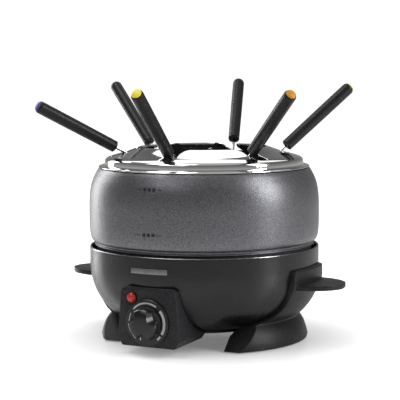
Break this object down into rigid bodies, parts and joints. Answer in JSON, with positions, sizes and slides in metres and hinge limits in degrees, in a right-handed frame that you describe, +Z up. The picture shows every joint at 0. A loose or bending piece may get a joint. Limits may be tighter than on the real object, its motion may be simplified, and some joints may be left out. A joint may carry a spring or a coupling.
{
  "type": "electric fondue pot set",
  "caption": "Tabletop electric fondue set: heated base with side handles and thermostat knob, lift-out pot, notched steel fork ring and long forks with colour-coded ends",
  "frame": {"origin": "on the pot's vertical axis, at the level the feet stand on", "axes": "+Z up, the control panel faces -Y, the two handle mouldings lie along +X and -X"},
  "size_m": [0.2616, 0.2749, 0.2232],
  "materials": {
    "black_paint": "deep black baked enamel, satin to semi-gloss",
    "edge_plastic": "black phenolic plastic, finely grained",
    "panel_plastic": "charcoal black moulded plastic, satin front and grained sides",
    "dial_plastic": "semi-gloss black plastic with printed pale arcs",
    "knob_plastic": "semi-gloss black plastic",
    "pot_coating": "dark grey hammered non-stick coating, black inside",
    "mirror_steel": "mirror-polished stainless steel",
    "fork_steel": "polished stainless steel wire",
    "fork_handle": "black phenolic plastic, finely grained",
    "aluminium": "cast aluminium, machined top face",
    "badge": "satin anodised plate, blank",
    "zinc_steel": "zinc-plated steel",
    "lens": "translucent red lens",
    "rubber": "black rubber",
    "ceramic": "off-white insulating ceramic",
    "cap_yellow": "yellow plastic",
    "cap_orange": "orange plastic",
    "cap_green": "lime green plastic",
    "cap_blue": "blue plastic",
    "cap_red": "red plastic",
    "cap_purple": "purple plastic"
  },
  "bodies": {
    "base": {"base_bowl": "black_paint", "bottom_cover": "edge_plastic", "handle_frame_right": "edge_plastic", "handle_frame_left": "edge_plastic", "control_box": "panel_plastic", "dial_ring": "dial_plastic", "lamp_bezel": "dial_plastic", "lamp_lens": "lens", "lamp_retainer": "zinc_steel", "badge_plate": "badge", "cord_inlet": "rubber", "rubber_foot_1": "rubber", "rubber_foot_2": "rubber", "rubber_foot_3": "rubber", "rubber_foot_4": "rubber", "heating_plate": "aluminium", "heating_element": "zinc_steel", "heat_shield": "zinc_steel", "thermostat_body": "ceramic", "capillary_tube": "zinc_steel", "terminal_block": "ceramic", "thermal_fuse": "ceramic", "plate_post_1": "zinc_steel", "plate_post_2": "zinc_steel", "plate_post_3": "zinc_steel", "cover_screw_1": "zinc_steel", "cover_screw_2": "zinc_steel", "cover_screw_3": "zinc_steel", "frame_screw_1": "zinc_steel", "frame_screw_2": "zinc_steel", "frame_screw_3": "zinc_steel", "frame_screw_4": "zinc_steel"},
    "knob": {"knob": "knob_plastic", "thermostat_shaft": "zinc_steel"},
    "pot": {"pot": "pot_coating"},
    "ring": {"fork_ring": "mirror_steel"},
    "fork_yellow": {"fork_steel_yellow": "fork_steel", "fork_handle_yellow": "fork_handle", "fork_cap_yellow": "cap_yellow"},
    "fork_orange": {"fork_steel_orange": "fork_steel", "fork_handle_orange": "fork_handle", "fork_cap_orange": "cap_orange"},
    "fork_green": {"fork_steel_green": "fork_steel", "fork_handle_green": "fork_handle", "fork_cap_green": "cap_green"},
    "fork_blue": {"fork_steel_blue": "fork_steel", "fork_handle_blue": "fork_handle", "fork_cap_blue": "cap_blue"},
    "fork_red": {"fork_steel_red": "fork_steel", "fork_handle_red": "fork_handle", "fork_cap_red": "cap_red"},
    "fork_purple": {"fork_steel_purple": "fork_steel", "fork_handle_purple": "fork_handle", "fork_cap_purple": "cap_purple"}
  },
  "joints": [
    {"name": "knob_turn", "type": "hinge", "parent": "base", "child": "knob", "pos_m": [0, -0.1043, 0.0275], "axis": [0, 1, 0], "range_deg": [0, 270]},
    {"name": "pot_lift", "type": "slide", "parent": "base", "child": "pot", "axis": [0, 0, 1], "range_m": [0, 0.15]},
    {"name": "ring_lift", "type": "slide", "parent": "pot", "child": "ring", "axis": [0, 0, 1], "range_m": [0, 0.08]},
    {"name": "fork_pull_yellow", "type": "slide", "parent": "ring", "child": "fork_yellow", "axis": [0.0645, -0.7678, 0.6374], "range_m": [0, 0.16]},
    {"name": "fork_pull_orange", "type": "slide", "parent": "ring", "child": "fork_orange", "axis": [0.6393, -0.4679, 0.6101], "range_m": [0, 0.16]},
    {"name": "fork_pull_green", "type": "slide", "parent": "ring", "child": "fork_green", "axis": [0.5215, 0.5672, 0.6374], "range_m": [0, 0.16]},
    {"name": "fork_pull_blue", "type": "slide", "parent": "ring", "child": "fork_blue", "axis": [-0.2733, 0.7047, 0.6547], "range_m": [0, 0.16]},
    {"name": "fork_pull_red", "type": "slide", "parent": "ring", "child": "fork_red", "axis": [-0.6673, 0.3623, 0.6508], "range_m": [0, 0.16]},
    {"name": "fork_pull_purple", "type": "slide", "parent": "ring", "child": "fork_purple", "axis": [-0.4986, -0.7365, 0.4571], "range_m": [0, 0.16]}
  ]
}
